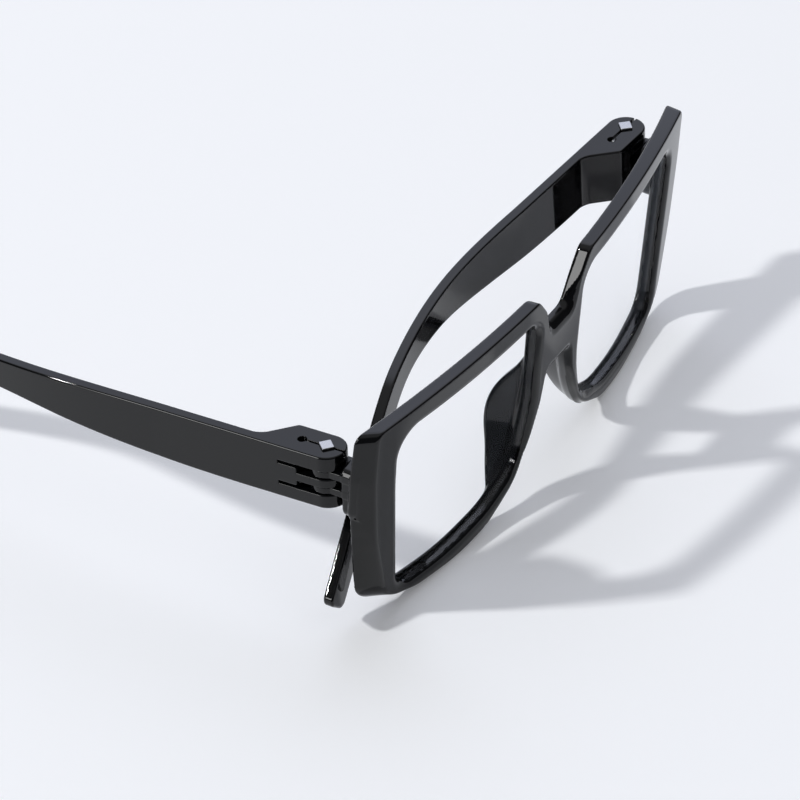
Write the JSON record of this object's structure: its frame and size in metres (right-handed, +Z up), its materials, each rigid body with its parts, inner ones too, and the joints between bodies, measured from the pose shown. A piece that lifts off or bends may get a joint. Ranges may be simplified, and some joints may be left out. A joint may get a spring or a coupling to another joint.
{
  "type": "eyeglasses",
  "caption": "Glossy black square full-rim glasses with clear lenses and two side arms on folding knuckle hinges, one arm open and one folded.",
  "frame": {"origin": "middle of the underside of the whole object's box, on the table it stands on", "axes": "+Z up from the table, the front faces -Y, +X towards the wearer's left; the right arm points along +Y"},
  "size_m": [0.1502, 0.1652, 0.0543],
  "materials": {
    "black_plastic": "high gloss",
    "clear_lens": "polished clear",
    "hinge_steel": "brushed"
  },
  "bodies": {
    "front": {"front_frame": "black_plastic", "lens_right": "clear_lens", "lens_left": "clear_lens"},
    "right_arm": {"temple_right": "black_plastic", "hinge_clip_right": "hinge_steel", "hinge_pin_right": "hinge_steel"},
    "left_arm": {"temple_left": "black_plastic", "hinge_clip_left": "hinge_steel", "hinge_pin_left": "hinge_steel"}
  },
  "joints": [
    {"name": "right_temple_fold", "type": "hinge", "parent": "front", "child": "right_arm", "pos_m": [-0.06736, -0.06135, 0.04516], "axis": [0, -0.0323, -0.9995], "range_deg": [0, 82]},
    {"name": "left_temple_fold", "type": "hinge", "parent": "front", "child": "left_arm", "pos_m": [0.07064, -0.06135, 0.04516], "axis": [0, 0.0323, 0.9995], "range_deg": [-86.1, 0]}
  ]
}
